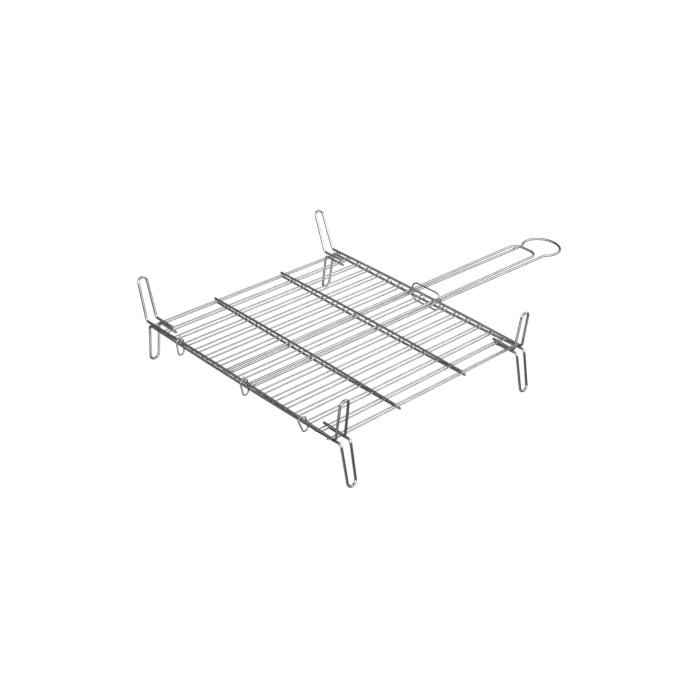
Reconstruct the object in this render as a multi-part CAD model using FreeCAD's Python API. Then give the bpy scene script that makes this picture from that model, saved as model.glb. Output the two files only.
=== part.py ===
import FreeCAD, Part

import math
import os

from FreeCAD import Placement, Rotation, Vector

# A double-sided wire grill basket.  Two square wire grids lie face to face,
# three wire links hinge them along their front bars, and a sliding ring holds
# their long handles together.  Each grid stands on four bent wire legs, so the
# closed basket can be turned over with the food inside it.
#
# Millimetres and degrees.  The parts are modelled with X along the hinge bar of
# the lower grid, +Y towards the handles, +Z up and the origin at the middle of
# that bar.  They are then moved so that the origin is under the middle of the
# whole basket, on the ground.

# Wire thicknesses
ROD_D = 2.2
MIDDLE_BAR_D = 3.6
FRAME_D = 4.0
HANDLE_D = 4.0
LINK_D = 2.3
LOCK_D = 2.5
WELD = 0.25                     # how far two crossing wires sink into each other

# Grids
PITCH = 25.0                    # spacing of the long wires
PLACES_EACH_SIDE = 8            # long wires on each side of the middle one
HANDLE_PLACE = 1                # the handle runs take these places, one each side
GRID_DEPTH = 398.5              # hinge bar to handle bar
MIDDLE_BAR_INSET = 128.2        # middle bars, from the nearest end bar
ROD_OVERHANG = 3.0              # long wires, past the end bars
MIDDLE_BAR_OVERHANG = 4.0       # middle bars, past the outer rods
CROWN = 2.0                     # how far each grid bulges outwards at its middle

# End frames: a bar that is bent into a leg at each end
CORNER_X = 8.53 * PITCH         # where the bar turns into the leg
RETURN_X = 6.8 * PITCH          # where the wire ends, back inside the grid
LEG_HEIGHT = 62.0               # bar to foot, along the wire's centre line
LEG_WIDTH = 18.2                # between the two runs of a leg, at the grid
FOOT_WIDTH = 15.6               # and at the foot
FOOT_BEND = 7.6
CORNER_BEND = 6.0
# How far each leg leans outwards: the left one, then the right one
LEAN_LOWER_HINGE = (1.5, 16.0)
LEAN_UPPER_HINGE = (20.0, 4.0)
LEAN_LOWER_HANDLE = (5.5, 14.5)
LEAN_UPPER_HANDLE = (26.0, 5.0)

# Handles
UPPER_HANDLE_END = 669.5        # far end of the plain upper loop
UPPER_HANDLE_BEND = 17.0
LOWER_EYE_Y = 703.5             # centre of the round eye that ends the lower one
LOWER_EYE_R = 33.5
LOWER_NECK_BEND = 10.0
LOWER_HANDLE_SWAY = 1.1         # the lower handle drifts sideways past its bar
SWAY_BEND = 300.0

# How the upper grid lies on the lower one when the basket is closed
HINGE_RISE = 10.4                # upper hinge bar above the lower one, at the middle
HANDLE_RISE = 12.3              # upper handle bar above the lower one
SHIFT_X = -4.9                  # play of the loose hinge, sideways
SHIFT_Y = -3.9                  # and forwards
YAW = 0.57                      # and in turning, about the vertical

# Fold: the axis runs along X, in front of the bars and midway between them
FOLD_AXIS_AHEAD = 6.0

# Hinge links: open-topped loops whose tails cross over the upper bar
LINK_X = (-135.5, 14.5, 139.5)
LINK_HALF_WIDTH = 5.8           # at the shoulders
LINK_FOOT_HALF_WIDTH = 5.0
LINK_DROP = 25.3                # upper bar to the bottom of the loop
LINK_BEND = 4.8
LINK_TAIL = Vector(0, 3.2, 7.65)  # where a tail ends, from the upper bar's centre
LINK_SHOULDER_Z = -0.3
LINK_SHOULDER_BEND = 3.0
LINK_SPREAD = 1.3              # each tail is this far to its side of the loop
LINK_SLACK_ANGLE = 10.0         # a link leans this much less than the line between the bars

# Locking ring, a closed oblong loop around all four handle runs
LOCK_Y = 407.5
LOCK_X = -2.3
LOCK_WIDTH = 62.8
LOCK_HEIGHT = 32.0
LOCK_BEND = 12.0
LOCK_Z = 1.9                    # its middle, above the lower bar

CLOSED_TILT = math.degrees(math.atan((HANDLE_RISE - HINGE_RISE) / GRID_DEPTH))
GRID_HALF = PLACES_EACH_SIDE * PITCH
CROWN_R = GRID_HALF ** 2 / (2 * CROWN)  # bend of the cross wires over the crown
EDGE_SLOPE = GRID_HALF / CROWN_R        # their slope at the outer rods
BAR_TO_FACE = FRAME_D / 2 - WELD        # bar's centre to the long wires' outer side
BAR_HEIGHT = LEG_HEIGHT + FRAME_D / 2   # lower bars above the ground
HANDLE_X = HANDLE_PLACE * PITCH
LOWER, UPPER = -1, 1                    # the side of the food that a grid is on


def line(start, end):
    return Part.LineSegment(start, end).toShape()


def arc(start, middle, end):
    return Part.Arc(start, middle, end).toShape()


def arc_about(centre, radius, first, last):
    """An arc in a level plane, from one heading to another, in degrees."""
    points = []
    for heading in (first, (first + last) / 2, last):
        turn = math.radians(heading)
        points.append(centre + Vector(math.cos(turn), math.sin(turn), 0) * radius)
    return arc(*points)


def sweep(edges, diameter):
    """Round wire along a smooth chain of lines and arcs."""
    path = Part.Wire(edges)
    first = edges[0]
    start = first.valueAt(first.FirstParameter)
    heading = first.tangentAt(first.FirstParameter)
    section = Part.Wire(Part.makeCircle(diameter / 2, start, heading))
    return path.makePipeShell([section], True, False)


def bent(points, bends):
    """Edges along points, with a bend of the given radius at each inner one."""
    edges = []
    start = points[0]
    for before, corner, after, radius in zip(points, points[1:], points[2:], bends):
        inward = (corner - before).normalize()
        outward = (after - corner).normalize()
        half_turn = inward.getAngle(outward) / 2
        reach = radius * math.tan(half_turn)
        towards_centre = (outward - inward).normalize()
        crown = corner + towards_centre * (radius / math.cos(half_turn) - radius)
        bend_start = corner - inward * reach
        bend_end = corner + outward * reach
        edges += [line(start, bend_start), arc(bend_start, crown, bend_end)]
        start = bend_end
    edges.append(line(start, points[-1]))
    return edges


def straight(start, end, diameter):
    along = end - start
    return Part.makeCylinder(diameter / 2, along.Length, start, along)


def wire_z(side, diameter):
    """Height of a long wire's centre line, lying on its bars' food side."""
    return -side * (BAR_TO_FACE + diameter / 2)


def crowned_z(side, x):
    """Height of a cross wire at x, from its height at the middle of the crown."""
    return -side * x ** 2 / (2 * CROWN_R)


def rod(side, place):
    x = place * PITCH
    z = wire_z(side, ROD_D) + crowned_z(side, x)
    return straight(Vector(x, -ROD_OVERHANG, z), Vector(x, GRID_DEPTH + ROD_OVERHANG, z), ROD_D)


def middle_bar(side, y):
    z = -side * (BAR_TO_FACE + WELD - MIDDLE_BAR_D / 2)
    half = GRID_HALF + MIDDLE_BAR_OVERHANG
    end_z = z + crowned_z(side, half)
    return sweep([arc(Vector(-half, y, end_z), Vector(0, y, z), Vector(half, y, end_z))], MIDDLE_BAR_D)


def leg(side, end, inwards, lean):
    """Corners of one leg, from the wire's inner end to the bar.

    end is -1 at the left and 1 at the right, inwards is the way to the grid's
    middle along Y.
    """
    foot_x = CORNER_X + LEG_HEIGHT * math.tan(math.radians(lean))
    foot_z = side * LEG_HEIGHT
    corner_z = side * (CROWN - EDGE_SLOPE * CORNER_X)
    return_z = side * (CROWN - EDGE_SLOPE * RETURN_X)
    narrowing = (LEG_WIDTH - FOOT_WIDTH) / 2
    return [
        Vector(end * RETURN_X, inwards * LEG_WIDTH, return_z),
        Vector(end * CORNER_X, inwards * LEG_WIDTH, corner_z),
        Vector(end * foot_x, inwards * (LEG_WIDTH - narrowing), foot_z),
        Vector(end * foot_x, inwards * narrowing, foot_z),
        Vector(end * CORNER_X, 0, corner_z),
    ]


def end_frame(side, y, leans):
    """A crowned bar across the grid with a leg at each end, bent from one wire."""
    inwards = 1 if y == 0 else -1
    left = leg(side, -1, inwards, leans[0])
    right = leg(side, 1, inwards, leans[1])
    crown = Vector(0, 0, side * CROWN)
    bends = [CORNER_BEND, FOOT_BEND, FOOT_BEND, CORNER_BEND]
    frame = sweep(bent(left + [crown] + right[::-1], bends + [CROWN_R] + bends[::-1]), FRAME_D)
    return frame.translated(Vector(0, y, 0))


def upper_handle():
    """A long plain hairpin, as a table of nodes."""
    z = wire_z(UPPER, HANDLE_D)
    corners = [
        Vector(-HANDLE_X, -ROD_OVERHANG, z),
        Vector(-HANDLE_X, UPPER_HANDLE_END, z),
        Vector(HANDLE_X, UPPER_HANDLE_END, z),
        Vector(HANDLE_X, -ROD_OVERHANG, z),
    ]
    return {"upper_handle": sweep(bent(corners, [UPPER_HANDLE_BEND] * 2), HANDLE_D)}


def lower_handle():
    """A longer hairpin that opens into a round eye at its end, as a table of nodes.

    Each neck is an arc that is tangent to the straight run and to the eye.  The
    wire is divided where the necks start.
    """
    z = wire_z(LOWER, HANDLE_D)
    neck_x = HANDLE_X + LOWER_NECK_BEND
    reach = LOWER_EYE_R + LOWER_NECK_BEND
    neck_y = LOWER_EYE_Y - math.sqrt(reach ** 2 - neck_x ** 2)
    turn = math.degrees(math.asin(neck_x / reach))
    sway = Rotation(Vector(0, 0, 1), -LOWER_HANDLE_SWAY)
    bar_middle = Vector(0, GRID_DEPTH, z)

    def swayed(x, y):
        return bar_middle + sway.multVec(Vector(x, y - GRID_DEPTH, 0))

    def swayed_arc(x, y, radius, first, last):
        return arc_about(swayed(x, y), radius, first - LOWER_HANDLE_SWAY, last - LOWER_HANDLE_SWAY)

    def run(end):
        corners = [
            Vector(end * HANDLE_X, -ROD_OVERHANG, z),
            swayed(end * HANDLE_X, GRID_DEPTH),
            swayed(end * HANDLE_X, neck_y),
        ]
        return sweep(bent(corners, [SWAY_BEND]), HANDLE_D)

    eye = [
        swayed_arc(-neck_x, neck_y, LOWER_NECK_BEND, 0, 90 - turn),
        swayed_arc(0, LOWER_EYE_Y, LOWER_EYE_R, 270 - turn, turn - 90),
        swayed_arc(neck_x, neck_y, LOWER_NECK_BEND, 90 + turn, 180),
    ]
    return {
        "lower_handle_left_run": run(-1),
        "lower_handle_right_run": run(1),
        "lower_handle_eye": sweep(eye, HANDLE_D),
    }


def grid(side, name, hinge_leans, handle_leans, handle_nodes):
    """One grid, flat in the plane of its end bars' centre lines."""
    nodes = dict(handle_nodes)
    places = range(-PLACES_EACH_SIDE, PLACES_EACH_SIDE + 1)
    rod_places = [place for place in places if abs(place) != HANDLE_PLACE]
    for number, place in enumerate(rod_places, start=1):
        nodes[f"{name}_rod_{number:02d}"] = rod(side, place)
    nodes[f"{name}_middle_bar_front"] = middle_bar(side, MIDDLE_BAR_INSET)
    nodes[f"{name}_middle_bar_rear"] = middle_bar(side, GRID_DEPTH - MIDDLE_BAR_INSET)
    nodes[f"{name}_hinge_frame"] = end_frame(side, 0, hinge_leans)
    nodes[f"{name}_handle_frame"] = end_frame(side, GRID_DEPTH, handle_leans)
    return nodes


def upper_placement():
    """Where the upper grid lies, closed, with the play of its loose hinge."""
    yaw = Rotation(Vector(0, 0, 1), -YAW)
    tilt = Rotation(Vector(1, 0, 0), CLOSED_TILT)
    return Placement(Vector(SHIFT_X, SHIFT_Y, HINGE_RISE), yaw.multiply(tilt))


def upper_bar_at(x):
    """The upper hinge bar's centre where it passes x."""
    bar = upper_placement()
    along = (x - SHIFT_X) / math.cos(math.radians(YAW))
    return bar.multVec(Vector(along, 0, crowned_z(UPPER, along)))


def hinge_link(x):
    """A wire loop around both hinge bars, its tails crossed over the upper one."""
    def corner(tail_side, y, z):
        return Vector(tail_side * LINK_SPREAD, y, z)

    bottom = Vector(0, LINK_FOOT_HALF_WIDTH, -LINK_DROP)
    corners = [
        corner(-1, LINK_TAIL.y, LINK_TAIL.z),
        corner(-1, -LINK_HALF_WIDTH, LINK_SHOULDER_Z),
        Vector(0, -bottom.y, bottom.z),
        bottom,
        corner(1, LINK_HALF_WIDTH, LINK_SHOULDER_Z),
        corner(1, -LINK_TAIL.y, LINK_TAIL.z),
    ]
    bends = [LINK_SHOULDER_BEND, LINK_BEND, LINK_BEND, LINK_SHOULDER_BEND]
    link = sweep(bent(corners, bends), LINK_D)
    pivot = upper_bar_at(x)
    lower_z = crowned_z(LOWER, x)
    bars_lean = math.degrees(math.atan2(-pivot.y, pivot.z - lower_z))
    link.Placement = Placement(pivot, Rotation(Vector(1, 0, 0), bars_lean - LINK_SLACK_ANGLE))
    return link


def locking_ring():
    """A closed loop, swept from the middle of its lower run and back."""
    half_width, half_height = LOCK_WIDTH / 2, LOCK_HEIGHT / 2
    corners = [
        Vector(0, 0, -half_height),
        Vector(half_width, 0, -half_height),
        Vector(half_width, 0, half_height),
        Vector(-half_width, 0, half_height),
        Vector(-half_width, 0, -half_height),
        Vector(0, 0, -half_height),
    ]
    ring = sweep(bent(corners, [LOCK_BEND] * 4), LOCK_D)
    return ring.translated(Vector(LOCK_X, LOCK_Y, LOCK_Z))


def basket():
    nodes = grid(LOWER, "lower", LEAN_LOWER_HINGE, LEAN_LOWER_HANDLE, lower_handle())
    upper = grid(UPPER, "upper", LEAN_UPPER_HINGE, LEAN_UPPER_HANDLE, upper_handle())
    closed = upper_placement()
    for name, shape in upper.items():
        shape.Placement = closed.multiply(shape.Placement)
        nodes[name] = shape
    for name, x in zip(("left", "middle", "right"), LINK_X):
        nodes[f"hinge_link_{name}"] = hinge_link(x)
    nodes["locking_ring"] = locking_ring()
    return nodes


def to_ground_centre(nodes):
    """The move that puts the origin under the basket's middle, at its feet."""
    box = FreeCAD.BoundBox()
    for shape in nodes.values():
        box.add(shape.optimalBoundingBox(False, False))
    return Vector(-round(box.Center.x, 1), -round(box.Center.y, 1), BAR_HEIGHT), box


def main():
    nodes = basket()
    move, box = to_ground_centre(nodes)
    os.makedirs("parts", exist_ok=True)
    for name, shape in nodes.items():
        shape.translate(move)
        if not shape.isValid() or len(shape.Solids) != 1:
            raise RuntimeError(name + " is not one valid solid")
        shape.exportStep(f"parts/{name}.step")

    print(f"{len(nodes)} nodes, {box.XLength:.1f} x {box.YLength:.1f} x {box.ZLength:.1f} mm")
    print("working origin moved by", [round(value, 2) for value in move])
    fold = Vector(0, SHIFT_Y / 2 - FOLD_AXIS_AHEAD, HINGE_RISE / 2) + move
    print("fold axis through", [round(value, 2) for value in fold])
    for x in LINK_X:
        print("link pivot", [round(value, 2) for value in upper_bar_at(x) + move])
    print(f"closed tilt {CLOSED_TILT:.3f} degrees")


main()
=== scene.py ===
import math
import random

import bpy
from mathutils import Matrix, Vector, noise


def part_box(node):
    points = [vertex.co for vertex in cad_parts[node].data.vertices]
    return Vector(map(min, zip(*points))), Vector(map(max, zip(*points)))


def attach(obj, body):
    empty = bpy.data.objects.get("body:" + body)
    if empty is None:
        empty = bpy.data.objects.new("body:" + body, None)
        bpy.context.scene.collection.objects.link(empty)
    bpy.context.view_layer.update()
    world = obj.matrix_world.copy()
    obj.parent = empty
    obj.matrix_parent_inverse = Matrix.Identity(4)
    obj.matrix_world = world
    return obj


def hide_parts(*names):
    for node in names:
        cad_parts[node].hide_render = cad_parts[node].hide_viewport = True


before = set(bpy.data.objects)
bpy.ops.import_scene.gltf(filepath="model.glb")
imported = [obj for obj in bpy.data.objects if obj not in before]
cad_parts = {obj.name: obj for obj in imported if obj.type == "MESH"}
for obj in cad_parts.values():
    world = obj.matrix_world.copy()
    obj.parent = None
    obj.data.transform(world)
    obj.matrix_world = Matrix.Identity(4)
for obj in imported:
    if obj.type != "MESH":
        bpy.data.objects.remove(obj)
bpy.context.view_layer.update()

# A double-sided grill basket of zinc-plated wire.  Each CAD wire is replaced by
# a finer one on the same centre line, with sheared ends, and each crossing gets
# its weld.  Millimetres in the working frame of the lower grid: X along its
# hinge bar, +Y towards the handles, +Z up.
MM = 0.001

# Wire thicknesses
ROD_D = 2.2
MIDDLE_BAR_D = 3.6
FRAME_D = 4.0
HANDLE_D = 4.0
LINK_D = 2.3
LOCK_D = 2.5
WELD = 0.25                     # how far two crossing wires sink into each other

# Grids
PITCH = 25.0                    # spacing of the long wires
PLACES_EACH_SIDE = 8            # long wires on each side of the middle one
HANDLE_PLACE = 1                # the handle runs take these places, one each side
GRID_DEPTH = 398.5              # hinge bar to handle bar
MIDDLE_BAR_INSET = 128.2        # middle bars, from the nearest end bar
ROD_OVERHANG = 3.0              # long wires, past the end bars
MIDDLE_BAR_OVERHANG = 4.0       # middle bars, past the outer rods
CROWN = 2.0                     # how far each grid bulges outwards at its middle

# End frames: a bar that is bent into a leg at each end
CORNER_X = 8.53 * PITCH         # where the bar turns into the leg
RETURN_X = 6.8 * PITCH          # where the wire ends, back inside the grid
LEG_HEIGHT = 62.0               # bar to foot, along the wire's centre line
LEG_WIDTH = 18.2                # between the two runs of a leg, at the grid
FOOT_WIDTH = 15.6               # and at the foot
FOOT_BEND = 7.6
CORNER_BEND = 6.0
# How far each leg leans outwards: the left one, then the right one
LEAN_LOWER_HINGE = (1.5, 16.0)
LEAN_UPPER_HINGE = (20.0, 4.0)
LEAN_LOWER_HANDLE = (5.5, 14.5)
LEAN_UPPER_HANDLE = (26.0, 5.0)

# Handles
UPPER_HANDLE_END = 669.5        # far end of the plain upper loop
UPPER_HANDLE_BEND = 17.0
LOWER_EYE_Y = 703.5             # centre of the round eye that ends the lower one
LOWER_EYE_R = 33.5
LOWER_NECK_BEND = 10.0
LOWER_HANDLE_SWAY = 1.1         # the lower handle drifts sideways past its bar, in degrees
SWAY_BEND = 300.0

# How the upper grid lies on the lower one when the basket is closed
HINGE_RISE = 10.4               # upper hinge bar above the lower one, at the middle
HANDLE_RISE = 12.3              # upper handle bar above the lower one
SHIFT_X = -4.9                  # play of the loose hinge, sideways
SHIFT_Y = -3.9                  # and forwards
YAW = 0.57                      # and in turning, about the vertical, in degrees

# Hinge links: open-topped loops whose tails cross over the upper bar
LINK_X = (-135.5, 14.5, 139.5)
LINK_HALF_WIDTH = 5.8           # at the shoulders
LINK_FOOT_HALF_WIDTH = 5.0
LINK_DROP = 25.3                # upper bar to the bottom of the loop
LINK_BEND = 4.8
LINK_TAIL = Vector((0, 3.2, 7.65))  # where a tail ends, from the upper bar's centre
LINK_SHOULDER_Z = -0.3
LINK_SHOULDER_BEND = 3.0
LINK_SPREAD = 1.3               # each tail is this far to its side of the loop
LINK_SLACK_ANGLE = 10.0         # a link leans this much less than the line between the bars

# Locking ring, a closed oblong loop around all four handle runs
LOCK_Y = 407.5
LOCK_X = -2.3
LOCK_WIDTH = 62.8
LOCK_HEIGHT = 32.0
LOCK_BEND = 12.0
LOCK_Z = 1.9                    # its middle, above the lower bar

CLOSED_TILT = math.atan((HANDLE_RISE - HINGE_RISE) / GRID_DEPTH)
GRID_HALF = PLACES_EACH_SIDE * PITCH
CROWN_R = GRID_HALF ** 2 / (2 * CROWN)  # bend of the cross wires over the crown
EDGE_SLOPE = GRID_HALF / CROWN_R        # their slope at the outer rods
BAR_TO_FACE = FRAME_D / 2 - WELD        # bar's centre to the long wires' outer side
HANDLE_X = HANDLE_PLACE * PITCH
LOWER, UPPER = -1, 1                    # the side of the food that a grid is on

# Detail of the finer wires: points round a ring, and rings along the wire
ROD_SIDES = 16
MIDDLE_BAR_SIDES = 20
FRAME_SIDES = 24
LINK_SIDES = 18
LOCK_SIDES = 20
ARC_STEP = math.radians(6)      # longest turn from one ring of points to the next
RUN_STEP = 14.0                 # longest distance between two rings
MIDDLE_BAR_STEP = 6.0           # the same for a middle bar, about
WELD_RINGS = (-5, -2.5, 0, 2.5, 5)  # rings of a rod, counted from the bar that it's welded to
BOW = 0.3                       # how far a rod may bow sideways between two bars
BOW_UP_SHARE = 0.7              # and up or down, as a share of that
HEAT_AND_SHADE_REACH = 5.0                # how far a weld's heat tint and painted contact shade reach
CHAMFER = ((0.0, 0.80), (0.12, 0.93), (0.35, 1.0))  # sheared end: depth, share of radius
SEAM_SWELL = 0.10               # a butt weld is thicker by this share of the radius
SEAM_REACH = 1.3                # distance over which that fades
SHARP_EDGE = math.radians(48)   # edges that turn further than this aren't smoothed

# Weld beads: half sizes across the long wire, along it and in height
BEAD_ACROSS_HANDLE = 1.75
BEAD_ACROSS_ROD = 1.3
BEAD_ALONG_MIDDLE = 1.35
BEAD_ALONG_END = 1.6
BEAD_HEIGHT = 0.62
BEAD_GROWTH = (0.88, 1.08)      # each bead is between these times that big
BEAD_LUMPS = 0.13
BEAD_LUMP_SCALE = 1.7
BEAD_NOISE_REACH = 9            # how far out in the noise a bead's lumps may be picked
BEAD_ROWS, BEAD_COLUMNS = 8, 14
END_ZONE = 50.0                 # welds closer than this to an end bar get the longer bead
RETURN_PLACES = (-8, -7, 7, 8)  # rods that the inner run of a leg crosses
LOWER_SEED, UPPER_SEED = 3, 8

# Zinc: texture scales per metre, along the wire and across it
DIE_LINE_SCALE = (70, 5200, 5200)
CLOUD_SCALE = (55, 280, 280)
SPECK_SCALE = (1500, 2300, 2300)
# Its colours, as shares of the material's own
DARK_PLATING, BRIGHT_PLATING, SPECK_SHADE = 0.86, 1.07, 0.45
# Noise from, to, and how much it then does, from, to
CLOUD_COLOUR = (0.36, 0.66, 0, 1)
LINE_COLOUR = (0.42, 0.60, 0, 0.18)
SPECK_COLOUR = (0.66, 0.74, 0, 0.40)
# How much of the weld heat tint and painted contact shade the cloud noise lets through
CLOUD_HEAT_AND_SHADE = (0.3, 0.7, 0.35, 0.85)
LINE_ROUGHNESS = (0.4, 0.65, 0, 0.05)
CLOUD_ROUGHNESS = (0.35, 0.68)  # noise from, to
ROUGHER, SMOOTHER = 0.07, 0.06  # and how far the roughness goes either way
HEAT_ROUGHNESS = 0.16
LINE_HEIGHT, SPECK_HEIGHT = 0.6, 0.4    # shares of the bump
BUMP_DEPTH = 0.00012            # metres

# Studio, its lengths in metres
FLOOR_REACH = 20.0              # from the middle to each side
FLOOR_SHADE = 0.06
FLOOR_ROUGHNESS = 0.9
FLOOR_GLOW = 0.98
KEY_POSITION = (0.25, 0.75, 1.30)
KEY_TARGET = (0.0, -0.17, 0.07)
KEY_SIZE = (0.9, 0.5)
KEY_POWER = 1.2
# Brightness of the surroundings, from straight down (0) to straight up (1)
SKY_LEVELS = (
    (0.0, 0.08), (0.18, 0.10), (0.25, 1.00), (0.33, 0.10), (0.45, 0.10),
    (0.54, 0.60), (0.62, 1.40), (0.78, 1.70), (0.88, 1.10), (0.94, 0.20), (1.0, 0.20),
)
PANEL_SCALE = 1.6
PANEL_RANGE = (0.38, 0.62, 0.7, 1.3)    # noise from, to; brightness from, to
BRIGHT_SIDE = (0.97, -0.26, 0.0)        # the way to the brighter side
SIDE_RANGE = (-0.6, 0.7, 0.12, 1.3)     # how far that way from, to; brightness from, to

# Camera: place in the working frame, turn in degrees about X, then Y, then Z
CAMERA_AT = Vector((1258.75, -1093.5, 1052.49))
CAMERA_TURN = (59.2417, -3.0167, 45.341)
CAMERA_LENS = 68.968
CAMERA_SENSOR = 36.0            # and the lens, in millimetres
CAMERA_SEES_TO = 100.0          # metres

PLACES = range(-PLACES_EACH_SIDE, PLACES_EACH_SIDE + 1)
BAR_YS = (0.0, MIDDLE_BAR_INSET, GRID_DEPTH - MIDDLE_BAR_INSET, GRID_DEPTH)


# --- paths ------------------------------------------------------------------

def arc_between(start, end, centre):
    """Points along an arc, without its first one."""
    a, b = start - centre, end - centre
    turn = a.angle(b)
    axis = a.cross(b).normalized()
    count = max(2, math.ceil(turn / ARC_STEP), math.ceil(turn * a.length / RUN_STEP))
    return [centre + Matrix.Rotation(turn * i / count, 3, axis) @ a for i in range(1, count + 1)]


def level_arc(centre, radius, first, last):
    """Points along an arc in a level plane, from one heading to another."""
    count = max(3, math.ceil(abs(last - first) / ARC_STEP))
    points = []
    for i in range(count + 1):
        heading = first + (last - first) * i / count
        points.append(centre + Vector((math.cos(heading), math.sin(heading), 0)) * radius)
    return points


def run_between(start, end):
    """Points along a straight run, without its first one."""
    count = max(1, math.ceil((end - start).length / RUN_STEP))
    return [start.lerp(end, i / count) for i in range(1, count + 1)]


def bent(points, bends):
    """A path along points, with a bend of the given radius at each inner one."""
    path = [points[0]]
    for before, corner, after, radius in zip(points, points[1:], points[2:], bends):
        inward = (corner - before).normalized()
        outward = (after - corner).normalized()
        half_turn = inward.angle(outward) / 2
        reach = radius * math.tan(half_turn)
        centre = corner + (outward - inward).normalized() * (radius / math.cos(half_turn))
        path += run_between(path[-1], corner - inward * reach)
        path += arc_between(corner - inward * reach, corner + outward * reach, centre)
    return path + run_between(path[-1], points[-1])


def wire_z(side, diameter):
    """Height of a long wire's centre line at its grid's middle, from its bar's."""
    return -side * (BAR_TO_FACE + diameter / 2)


def crowned_z(side, x):
    """Height of a bulging grid's wires at x, from where they are at its middle."""
    return -side * x ** 2 / (2 * CROWN_R)


def rod_path(side, place, rng):
    """One long wire, with rings close together at its welds and a slight bow between."""
    x = place * PITCH
    z = wire_z(side, ROD_D) + crowned_z(side, x)
    stations = [-ROD_OVERHANG]
    for bar_y in BAR_YS:
        stations += [bar_y + offset for offset in WELD_RINGS]
    stations = sorted(y for y in stations if -ROD_OVERHANG <= y <= GRID_DEPTH + ROD_OVERHANG)
    stations.append(GRID_DEPTH + ROD_OVERHANG)
    bows = [(rng.uniform(-BOW, BOW), rng.uniform(-BOW, BOW) * BOW_UP_SHARE) for _ in BAR_YS[1:]]
    path = []
    for start, end in zip(stations, stations[1:]):
        count = max(1, math.ceil((end - start) / RUN_STEP))
        path += [start + (end - start) * i / count for i in range(count)]
    path.append(stations[-1])
    points = []
    for y in path:
        dx = dz = 0.0
        for low, high, (bow_x, bow_z) in zip(BAR_YS, BAR_YS[1:], bows):
            if low < y < high:
                swell = math.sin(math.pi * (y - low) / (high - low)) ** 2
                dx, dz = bow_x * swell, bow_z * swell
        points.append(Vector((x + dx, y, z + dz)))
    return points


def middle_bar_path(side, y):
    z = -side * (BAR_TO_FACE + WELD - MIDDLE_BAR_D / 2)
    half = GRID_HALF + MIDDLE_BAR_OVERHANG
    points = []
    steps = round(2 * half / MIDDLE_BAR_STEP)
    for i in range(steps + 1):
        x = -half + 2 * half * i / steps
        points.append(Vector((x, y, z + crowned_z(side, x))))
    return points


def leg(side, end, inwards, lean):
    foot_x = CORNER_X + LEG_HEIGHT * math.tan(math.radians(lean))
    corner_z = side * (CROWN - EDGE_SLOPE * CORNER_X)
    return_z = side * (CROWN - EDGE_SLOPE * RETURN_X)
    narrowing = (LEG_WIDTH - FOOT_WIDTH) / 2
    return [
        Vector((end * RETURN_X, inwards * LEG_WIDTH, return_z)),
        Vector((end * CORNER_X, inwards * LEG_WIDTH, corner_z)),
        Vector((end * foot_x, inwards * (LEG_WIDTH - narrowing), side * LEG_HEIGHT)),
        Vector((end * foot_x, inwards * narrowing, side * LEG_HEIGHT)),
        Vector((end * CORNER_X, 0, corner_z)),
    ]


def end_frame_path(side, y, leans):
    inwards = 1 if y == 0 else -1
    left = leg(side, -1, inwards, leans[0])
    right = leg(side, 1, inwards, leans[1])
    bends = [CORNER_BEND, FOOT_BEND, FOOT_BEND, CORNER_BEND]
    corners = left + [Vector((0, 0, side * CROWN))] + right[::-1]
    return [p + Vector((0, y, 0)) for p in bent(corners, bends + [CROWN_R] + bends[::-1])]


def upper_handle_path():
    z = wire_z(UPPER, HANDLE_D)
    ys = (-ROD_OVERHANG, UPPER_HANDLE_END, UPPER_HANDLE_END, -ROD_OVERHANG)
    corners = [Vector((x * HANDLE_X, y, z)) for x, y in zip((-1, -1, 1, 1), ys)]
    return bent(corners, [UPPER_HANDLE_BEND] * 2)


def lower_handle_path():
    """The whole wire: a run, the eye between its two necks, and the other run."""
    z = wire_z(LOWER, HANDLE_D)
    neck_x = HANDLE_X + LOWER_NECK_BEND
    reach = LOWER_EYE_R + LOWER_NECK_BEND
    neck_y = LOWER_EYE_Y - math.sqrt(reach ** 2 - neck_x ** 2)
    turn = math.asin(neck_x / reach)
    sway = math.radians(LOWER_HANDLE_SWAY)
    turned = Matrix.Rotation(-sway, 3, "Z")
    bar_middle = Vector((0, GRID_DEPTH, z))

    def swayed(x, y):
        return bar_middle + turned @ Vector((x, y - GRID_DEPTH, 0))

    def swayed_arc(x, y, radius, first, last):
        return level_arc(swayed(x, y), radius, first - sway, last - sway)

    def run(end):
        corners = [
            Vector((end * HANDLE_X, -ROD_OVERHANG, z)),
            swayed(end * HANDLE_X, GRID_DEPTH),
            swayed(end * HANDLE_X, neck_y),
        ]
        return bent(corners, [SWAY_BEND])

    quarter = math.pi / 2
    eye = swayed_arc(-neck_x, neck_y, LOWER_NECK_BEND, 0, quarter - turn)
    eye += swayed_arc(0, LOWER_EYE_Y, LOWER_EYE_R, 3 * quarter - turn, turn - quarter)[1:]
    eye += swayed_arc(neck_x, neck_y, LOWER_NECK_BEND, quarter + turn, 2 * quarter)[1:]
    return run(-1) + eye[1:-1] + run(1)[::-1]


def upper_placement():
    yaw = Matrix.Rotation(math.radians(-YAW), 4, "Z")
    tilt = Matrix.Rotation(CLOSED_TILT, 4, "X")
    return Matrix.Translation((SHIFT_X, SHIFT_Y, HINGE_RISE)) @ yaw @ tilt


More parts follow.
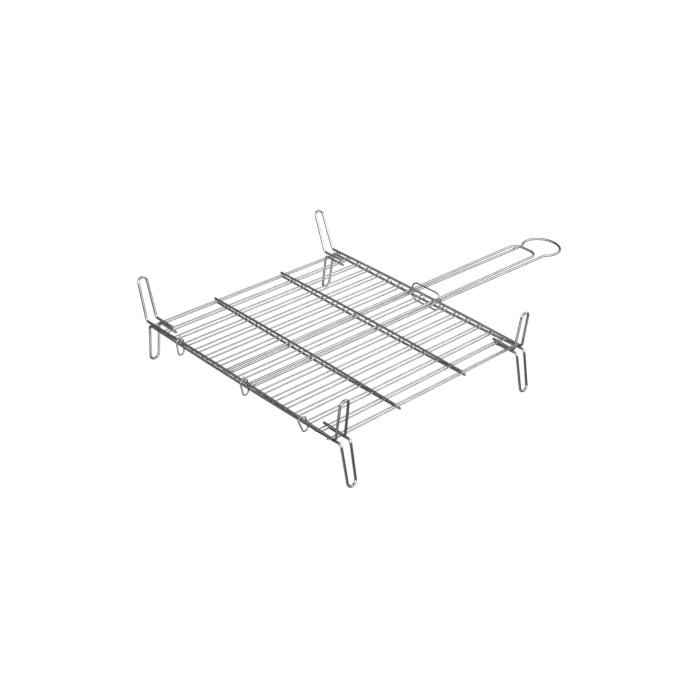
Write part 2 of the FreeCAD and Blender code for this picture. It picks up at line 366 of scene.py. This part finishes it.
def link_path(x):
    def corner(tail_side, y, z):
        return Vector((tail_side * LINK_SPREAD, y, z))

    bottom = Vector((0, LINK_FOOT_HALF_WIDTH, -LINK_DROP))
    corners = [
        corner(-1, LINK_TAIL.y, LINK_TAIL.z),
        corner(-1, -LINK_HALF_WIDTH, LINK_SHOULDER_Z),
        Vector((0, -bottom.y, bottom.z)),
        bottom,
        corner(1, LINK_HALF_WIDTH, LINK_SHOULDER_Z),
        corner(1, -LINK_TAIL.y, LINK_TAIL.z),
    ]
    along = (x - SHIFT_X) / math.cos(math.radians(YAW))
    pivot = upper_placement() @ Vector((along, 0, crowned_z(UPPER, along)))
    bars_lean = math.atan2(-pivot.y, pivot.z - crowned_z(LOWER, x))
    lean = bars_lean - math.radians(LINK_SLACK_ANGLE)
    place = Matrix.Translation(pivot) @ Matrix.Rotation(lean, 4, "X")
    bends = [LINK_SHOULDER_BEND, LINK_BEND, LINK_BEND, LINK_SHOULDER_BEND]
    return [place @ p for p in bent(corners, bends)]


def locking_ring_path():
    half_width, half_height = LOCK_WIDTH / 2, LOCK_HEIGHT / 2
    xs = (0, 1, 1, -1, -1, 0)
    zs = (-1, -1, 1, 1, -1, -1)
    corners = [
        Vector((LOCK_X + x * half_width, LOCK_Y, LOCK_Z + z * half_height)) for x, z in zip(xs, zs)
    ]
    return bent(corners, [LOCK_BEND] * 4)


# --- meshes -----------------------------------------------------------------

def working_origin():
    """Where the CAD has the working frame's origin, from its middle rod."""
    low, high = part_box("lower_rod_08")
    middle = (low + high) / 2
    z = middle.z - wire_z(LOWER, ROD_D) * MM
    return Vector((middle.x, low.y + ROD_OVERHANG * MM, z))


TO_ROW = Matrix.Translation(working_origin()) @ Matrix.Scale(MM, 4)
PLACED = {LOWER: TO_ROW, UPPER: TO_ROW @ upper_placement()}


def new_piece(name, verts, faces, material, attributes):
    mesh = bpy.data.meshes.new(name)
    mesh.from_pydata(verts, [], faces)
    for attribute, kind, values in attributes:
        field = "vector" if kind == "FLOAT_VECTOR" else "value"
        layer = mesh.attributes.new(attribute, kind, "POINT")
        layer.data.foreach_set(field, values)
    mesh.polygons.foreach_set("use_smooth", [True] * len(mesh.polygons))
    mesh.set_sharp_from_angle(angle=SHARP_EDGE)
    mesh.materials.append(material)
    piece = bpy.data.objects.new(name, mesh)
    bpy.context.scene.collection.objects.link(piece)
    return piece


def frames_along(path, closed):
    """A centre, two cross directions and the distance so far, for each ring."""
    count = len(path)
    rings = []
    distance = 0.0
    cross = None
    for i, point in enumerate(path):
        before = path[i - 1] if i or closed else point
        after = path[(i + 1) % count] if i < count - 1 or closed else point
        along = (after - before).normalized()
        if cross is None:
            cross = along.orthogonal().normalized()
        cross = (cross - along * cross.dot(along)).normalized()
        distance += (point - path[i - 1]).length if i else 0.0
        rings.append((point, along, cross, along.cross(cross), distance))
    return rings


def with_sheared_ends(path):
    """The path with the extra rings of a sheared end, and each ring's share of radius."""
    def end(tip, following):
        along = (following - tip).normalized()
        return [(tip + along * depth, share) for depth, share in CHAMFER]

    inner = [(point, 1.0) for point in path[1:-1]]
    return end(path[0], path[1]) + inner + end(path[-1], path[-2])[::-1]


def wire(name, path, diameter, material, sides, place, heat_and_shade=(), seam=None):
    """Round wire along a path, in the row frame.

    The weld centres passed in darken the colour around them with weld heat tint and painted contact
    shade; seam is the place of a butt weld on a closed wire.
    """
    closed = seam is not None
    stations = [(point, 1.0) for point in path] if closed else with_sheared_ends(path)
    rings = frames_along([point for point, _ in stations], closed)
    verts, wire_pos, heat_and_contact_shade = [], [], []
    for (point, along, cross, other, distance), (_, share) in zip(rings, stations):
        swell = 1.0
        if closed:
            swell += SEAM_SWELL * math.exp(-((point - seam).length / SEAM_REACH) ** 2)
        radius = diameter / 2 * share * swell
        # Near a weld the colour darkens: weld heat tint, and painted shade where the wires cross
        near = min(((point - centre).length for centre in heat_and_shade), default=HEAT_AND_SHADE_REACH)
        heat_and_shade_share = max(0.0, 1 - near / HEAT_AND_SHADE_REACH)
        for k in range(sides):
            turn = math.tau * k / sides
            around = cross * math.cos(turn) + other * math.sin(turn)
            verts.append(place @ (point + around * radius))
            wire_pos += [distance * MM, math.cos(turn) * radius * MM, math.sin(turn) * radius * MM]
            heat_and_contact_shade.append(heat_and_shade_share)
    faces = []
    ring_count = len(rings)
    for i in range(ring_count if closed else ring_count - 1):
        a, b = i * sides, (i + 1) % ring_count * sides
        for k in range(sides):
            following = (k + 1) % sides
            faces.append((a + k, a + following, b + following, b + k))
    if not closed:
        for ring, step in ((0, -1), (ring_count - 1, 1)):
            corners = [ring * sides + k for k in range(sides)]
            faces.append(corners[::step])
    attributes = [("wire_pos", "FLOAT_VECTOR", wire_pos), ("heat_and_contact_shade", "FLOAT", heat_and_contact_shade)]
    return new_piece(name, verts, faces, material, attributes)


def sphere_points(rows, columns):
    """Unit sphere: its points and faces."""
    points = [Vector((0, 0, -1))]
    for row in range(1, rows):
        height = -math.cos(math.pi * row / rows)
        width = math.sqrt(1 - height ** 2)
        for column in range(columns):
            turn = math.tau * column / columns
            points.append(Vector((width * math.cos(turn), width * math.sin(turn), height)))
    points.append(Vector((0, 0, 1)))
    faces = []
    top = len(points) - 1
    for column in range(columns):
        following = (column + 1) % columns
        faces.append((0, 1 + following, 1 + column))
        for row in range(rows - 2):
            a, b = 1 + row * columns, 1 + (row + 1) * columns
            faces.append((a + column, a + following, b + following, b + column))
        last = 1 + (rows - 2) * columns
        faces.append((last + column, last + following, top))
    return points, faces


def weld_beads(name, spots, material, place, rng):
    """Squeezed-out metal at crossings.  A spot is its centre and half sizes."""
    ball, ball_faces = sphere_points(BEAD_ROWS, BEAD_COLUMNS)
    verts, faces, wire_pos = [], [], []
    for centre, half in spots:
        first = len(verts)
        shift = Vector([rng.uniform(-BEAD_NOISE_REACH, BEAD_NOISE_REACH) for _ in range(3)])
        grow = Vector([rng.uniform(*BEAD_GROWTH) for _ in range(3)])
        for p in ball:
            lump = 1 + BEAD_LUMPS * noise.noise(p * BEAD_LUMP_SCALE + shift)
            offset = Vector([p[k] * half[k] * grow[k] * lump for k in range(3)])
            verts.append(place @ (centre + offset))
            wire_pos += [(centre[k] + offset[k]) * MM for k in range(3)]
        faces += [tuple(first + corner for corner in face) for face in ball_faces]
    # Beads take the full weld heat tint and painted contact shade
    attributes = [
        ("wire_pos", "FLOAT_VECTOR", wire_pos),
        ("heat_and_contact_shade", "FLOAT", [1.0] * len(verts)),
    ]
    return new_piece(name, verts, faces, material, attributes)


# --- materials --------------------------------------------------------------

def set_range(node, *numbers):
    """Set a Map Range node: the lowest and highest value in, then out."""
    for key, number in zip(("From Min", "From Max", "To Min", "To Max"), numbers):
        node.inputs[key].default_value = number


def zinc(name, colour, roughness, grain, heat_and_shade_colour):
    """Zinc-plated drawn wire: die lines along it, cloudy plating, dull weld heat and painted contact
    shade at the welds.

    grain is the strength of the bump, and the last argument the darker colour of weld heat tint and
    painted contact shade.
    """
    material = bpy.data.materials.new(name)
    material.use_nodes = True
    nodes, links = material.node_tree.nodes, material.node_tree.links
    shader = nodes["Principled BSDF"]
    shader.inputs["Metallic"].default_value = 1.0

    def add(kind, **settings):
        node = nodes.new(kind)
        for key, value in settings.items():
            setattr(node, key, value)
        return node

    def ranged(value, low, high, out_low, out_high):
        node = add("ShaderNodeMapRange")
        links.new(value, node.inputs["Value"])
        set_range(node, low, high, out_low, out_high)
        return node.outputs["Result"]

    def stretched_noise(scale, detail):
        mapping = add("ShaderNodeMapping")
        mapping.inputs["Scale"].default_value = scale
        links.new(position.outputs["Vector"], mapping.inputs["Vector"])
        texture = add("ShaderNodeTexNoise")
        texture.inputs["Scale"].default_value = 1.0
        texture.inputs["Detail"].default_value = detail
        links.new(mapping.outputs["Vector"], texture.inputs["Vector"])
        return texture.outputs["Fac"]

    def mixed(factor, first, second, blend="MIX"):
        node = add("ShaderNodeMix", data_type="RGBA", blend_type=blend)
        links.new(factor, node.inputs["Factor"])
        for socket, value in ((node.inputs[6], first), (node.inputs[7], second)):
            if isinstance(value, tuple):
                socket.default_value = (*value, 1)
            else:
                links.new(value, socket)
        return node.outputs[2]

    def combined(operation, first, second):
        node = add("ShaderNodeMath", operation=operation)
        for socket, value in zip(node.inputs, (first, second)):
            if isinstance(value, float):
                socket.default_value = value
            else:
                links.new(value, socket)
        return node.outputs["Value"]

    position = add("ShaderNodeAttribute", attribute_name="wire_pos")
    heat_and_contact_shade = add("ShaderNodeAttribute", attribute_name="heat_and_contact_shade").outputs["Fac"]
    die_lines = stretched_noise(DIE_LINE_SCALE, 3)
    clouds = stretched_noise(CLOUD_SCALE, 3)
    specks = stretched_noise(SPECK_SCALE, 2)

    dark = tuple(c * DARK_PLATING for c in colour)
    bright = tuple(min(1, c * BRIGHT_PLATING) for c in colour)
    speck = tuple(c * SPECK_SHADE for c in colour)
    plated = mixed(ranged(clouds, *CLOUD_COLOUR), dark, bright)
    lined = mixed(ranged(die_lines, *LINE_COLOUR), plated, dark)
    speckled = mixed(ranged(specks, *SPECK_COLOUR), lined, speck)
    # Weld heat tint and painted contact shade: the colour darkens near the welds
    heat_and_shade = combined("MULTIPLY", heat_and_contact_shade, ranged(clouds, *CLOUD_HEAT_AND_SHADE))
    heat_and_shade_mixed = mixed(heat_and_shade, speckled, heat_and_shade_colour)
    links.new(heat_and_shade_mixed, shader.inputs["Base Color"])

    cloudy = ranged(clouds, *CLOUD_ROUGHNESS, roughness + ROUGHER, roughness - SMOOTHER)
    rough = combined("ADD", cloudy, ranged(die_lines, *LINE_ROUGHNESS))
    rough = combined("ADD", rough, combined("MULTIPLY", heat_and_contact_shade, HEAT_ROUGHNESS))
    links.new(rough, shader.inputs["Roughness"])

    line_height = combined("MULTIPLY", die_lines, LINE_HEIGHT)
    speck_height = combined("MULTIPLY", specks, SPECK_HEIGHT)
    height = combined("ADD", line_height, speck_height)
    bump = add("ShaderNodeBump")
    bump.inputs["Strength"].default_value = grain
    bump.inputs["Distance"].default_value = BUMP_DEPTH
    links.new(height, bump.inputs["Height"])
    links.new(bump.outputs["Normal"], shader.inputs["Normal"])
    return material


# Each last colour is the weld heat tint and painted contact shade near the welds
ROD_ZINC = zinc("rod_zinc", (0.56, 0.564, 0.572), 0.22, 0.06, (0.28, 0.276, 0.271))
# Middle bars: a darker copy of the rod zinc, painted shade for the darker reflections these bars show
SHADED_BAR_ZINC = zinc("shaded_bar_zinc", (0.44, 0.443, 0.448), 0.22, 0.10, (0.20, 0.198, 0.195))
FRAME_ZINC = zinc("frame_zinc", (0.62, 0.624, 0.631), 0.10, 0.06, (0.31, 0.306, 0.301))
LINK_ZINC = zinc("link_zinc", (0.54, 0.543, 0.55), 0.28, 0.15, (0.26, 0.257, 0.253))
RING_ZINC = zinc("ring_zinc", (0.50, 0.504, 0.51), 0.22, 0.12, (0.26, 0.257, 0.253))
WELD_ZINC = zinc("weld_zinc", (0.34, 0.343, 0.346), 0.38, 0.80, (0.26, 0.257, 0.253))


# --- pieces -----------------------------------------------------------------

def replace(piece, body, slot, *nodes):
    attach(piece, body)
    if nodes:
        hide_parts(*nodes)


def contact(side, x, y):
    """Where the long wire at x crosses a bar at y."""
    z = -side * (BAR_TO_FACE + WELD / 2) + crowned_z(side, x)
    return Vector((x, y, z))


def make_grid(side, name, hinge_leans, handle_leans, seed):
    rng = random.Random(seed)
    place = PLACED[side]
    body = f"{name}_grid"
    rod_places = [p for p in PLACES if abs(p) != HANDLE_PLACE]
    crossings = {x: [contact(side, x * PITCH, y) for y in BAR_YS] for x in PLACES}
    returns = {0.0: [], GRID_DEPTH: []}
    for y, inner in ((0.0, LEG_WIDTH), (GRID_DEPTH, GRID_DEPTH - LEG_WIDTH)):
        for p in RETURN_PLACES:
            spot = contact(side, p * PITCH, inner)
            returns[y].append(spot)
            crossings[p].append(spot)

    for number, p in enumerate(rod_places, start=1):
        node = f"{name}_rod_{number:02d}"
        path = rod_path(side, p, rng)
        piece = wire(f"{node}_wire", path, ROD_D, ROD_ZINC, ROD_SIDES, place, heat_and_shade=crossings[p])
        replace(piece, body, "rod_wire", node)

    for y, label in zip(BAR_YS[1:3], ("front", "rear")):
        node = f"{name}_middle_bar_{label}"
        heat_and_shade = [contact(side, p * PITCH, y) for p in PLACES]
        path = middle_bar_path(side, y)
        piece = wire(
            f"{node}_wire", path, MIDDLE_BAR_D, SHADED_BAR_ZINC, MIDDLE_BAR_SIDES, place, heat_and_shade=heat_and_shade
        )
        replace(piece, body, "rod_wire", node)

    for y, label, leans in ((0.0, "hinge", hinge_leans), (GRID_DEPTH, "handle", handle_leans)):
        node = f"{name}_{label}_frame"
        heat_and_shade = [contact(side, p * PITCH, y) for p in PLACES] + returns[y]
        path = end_frame_path(side, y, leans)
        piece = wire(f"{node}_wire", path, FRAME_D, FRAME_ZINC, FRAME_SIDES, place, heat_and_shade=heat_and_shade)
        replace(piece, body, "frame_wire", node)

    if side == UPPER:
        path, nodes = upper_handle_path(), ["upper_handle"]
    else:
        path = lower_handle_path()
        nodes = ["lower_handle_left_run", "lower_handle_right_run", "lower_handle_eye"]
    heat_and_shade = crossings[-HANDLE_PLACE] + crossings[HANDLE_PLACE]
    piece = wire(
        f"{name}_handle_wire", path, HANDLE_D, FRAME_ZINC, FRAME_SIDES, place, heat_and_shade=heat_and_shade
    )
    replace(piece, body, "frame_wire", *nodes)

    spots = []
    for p in PLACES:
        heavy = abs(p) == HANDLE_PLACE
        for spot in crossings[p]:
            at_middle = END_ZONE < spot.y < GRID_DEPTH - END_ZONE
            across = BEAD_ACROSS_HANDLE if heavy else BEAD_ACROSS_ROD
            along = BEAD_ALONG_MIDDLE if at_middle else BEAD_ALONG_END
            spots.append((spot, Vector((across, along, BEAD_HEIGHT))))
    piece = weld_beads(f"{name}_welds", spots, WELD_ZINC, place, rng)
    replace(piece, body, "frame_wire")


make_grid(LOWER, "lower", LEAN_LOWER_HINGE, LEAN_LOWER_HANDLE, LOWER_SEED)
make_grid(UPPER, "upper", LEAN_UPPER_HINGE, LEAN_UPPER_HANDLE, UPPER_SEED)

for side_name, link_x in zip(("left", "middle", "right"), LINK_X):
    node = f"hinge_link_{side_name}"
    piece = wire(f"{node}_wire", link_path(link_x), LINK_D, LINK_ZINC, LINK_SIDES, TO_ROW)
    replace(piece, node, "link_wire", node)

ring_path = locking_ring_path()
ring = wire(
    "locking_ring_wire", ring_path[:-1], LOCK_D, RING_ZINC, LOCK_SIDES, TO_ROW,
    heat_and_shade=[ring_path[0]], seam=ring_path[0],
)
replace(ring, "locking_ring", "ring_wire", "locking_ring")


# --- studio -----------------------------------------------------------------

def floor_material():
    """A light table: the floor glows evenly, so that it's white with hardly a shadow."""
    material = bpy.data.materials.new("pale_floor")
    material.use_nodes = True
    shader = material.node_tree.nodes["Principled BSDF"]
    shader.inputs["Base Color"].default_value = (FLOOR_SHADE, FLOOR_SHADE, FLOOR_SHADE, 1)
    shader.inputs["Roughness"].default_value = FLOOR_ROUGHNESS
    shader.inputs["Specular IOR Level"].default_value = 0.1
    shader.inputs["Emission Color"].default_value = (1, 1, 1, 1)
    shader.inputs["Emission Strength"].default_value = FLOOR_GLOW
    return material


def softbox(name, position, target, size, power):
    lamp = bpy.data.lights.new(name, "AREA")
    lamp.shape = "RECTANGLE"
    lamp.size, lamp.size_y = size
    lamp.energy = power
    holder = bpy.data.objects.new(name, lamp)
    bpy.context.scene.collection.objects.link(holder)
    holder.location = position
    holder.rotation_euler = (Vector(target) - Vector(position)).to_track_quat("-Z", "Y").to_euler()


def studio_world():
    """What the wires mirror: bright and dark bands with soft panels.

    To the camera it is plain white.
    """
    world = bpy.data.worlds.new("studio")
    world.use_nodes = True
    nodes, links = world.node_tree.nodes, world.node_tree.links
    backdrop = nodes["Background"]
    where = nodes.new("ShaderNodeTexCoord")
    split = nodes.new("ShaderNodeSeparateXYZ")
    links.new(where.outputs["Generated"], split.inputs["Vector"])
    height = nodes.new("ShaderNodeMapRange")
    height.inputs["From Min"].default_value = -1.0
    links.new(split.outputs["Z"], height.inputs["Value"])
    ramp = nodes.new("ShaderNodeValToRGB").color_ramp
    for position, _ in SKY_LEVELS[1:-1]:
        ramp.elements.new(position)
    for stop, (_, level) in zip(ramp.elements, SKY_LEVELS):
        stop.color = (level, level, level, 1)
    ramp_node = nodes["Color Ramp"]
    links.new(height.outputs["Result"], ramp_node.inputs["Fac"])
    panels = nodes.new("ShaderNodeTexNoise")
    panels.inputs["Scale"].default_value = PANEL_SCALE
    panels.inputs["Detail"].default_value = 1.0
    links.new(where.outputs["Generated"], panels.inputs["Vector"])
    contrast = nodes.new("ShaderNodeMapRange")
    set_range(contrast, *PANEL_RANGE)
    links.new(panels.outputs["Fac"], contrast.inputs["Value"])
    towards = nodes.new("ShaderNodeVectorMath")
    towards.operation = "DOT_PRODUCT"
    towards.inputs[1].default_value = BRIGHT_SIDE
    links.new(where.outputs["Generated"], towards.inputs[0])
    side = nodes.new("ShaderNodeMapRange")
    set_range(side, *SIDE_RANGE)
    links.new(towards.outputs["Value"], side.inputs["Value"])
    level = ramp_node.outputs["Color"]
    for factor in (contrast, side):
        product = nodes.new("ShaderNodeMix")
        product.data_type, product.blend_type = "RGBA", "MULTIPLY"
        product.inputs["Factor"].default_value = 1.0
        links.new(level, product.inputs[6])
        links.new(factor.outputs["Result"], product.inputs[7])
        level = product.outputs[2]
    seen = nodes.new("ShaderNodeMix")
    seen.data_type = "RGBA"
    links.new(nodes.new("ShaderNodeLightPath").outputs["Is Camera Ray"], seen.inputs["Factor"])
    links.new(level, seen.inputs[6])
    seen.inputs[7].default_value = (1, 1, 1, 1)
    links.new(seen.outputs[2], backdrop.inputs["Color"])
    backdrop.inputs["Strength"].default_value = 1.0
    bpy.context.scene.world = world


floor_mesh = bpy.data.meshes.new("floor")
floor_corners = [(x * FLOOR_REACH, y * FLOOR_REACH, 0) for x, y in ((-1, -1), (1, -1), (1, 1), (-1, 1))]
floor_mesh.from_pydata(floor_corners, [], [(0, 1, 2, 3)])
floor_mesh.materials.append(floor_material())
floor = bpy.data.objects.new("floor", floor_mesh)
bpy.context.scene.collection.objects.link(floor)
floor.visible_glossy = False

studio_world()
softbox("key_softbox", KEY_POSITION, KEY_TARGET, KEY_SIZE, KEY_POWER)
bpy.context.scene.view_settings.view_transform = "Standard"

camera_data = bpy.data.cameras.new("camera")
camera_data.lens = CAMERA_LENS
camera_data.sensor_width = CAMERA_SENSOR
camera = bpy.data.objects.new("camera", camera_data)
bpy.context.scene.collection.objects.link(camera)
camera.location = TO_ROW @ CAMERA_AT
camera.rotation_euler = [math.radians(turn) for turn in CAMERA_TURN]
camera_data.clip_end = CAMERA_SEES_TO
bpy.context.scene.camera = camera
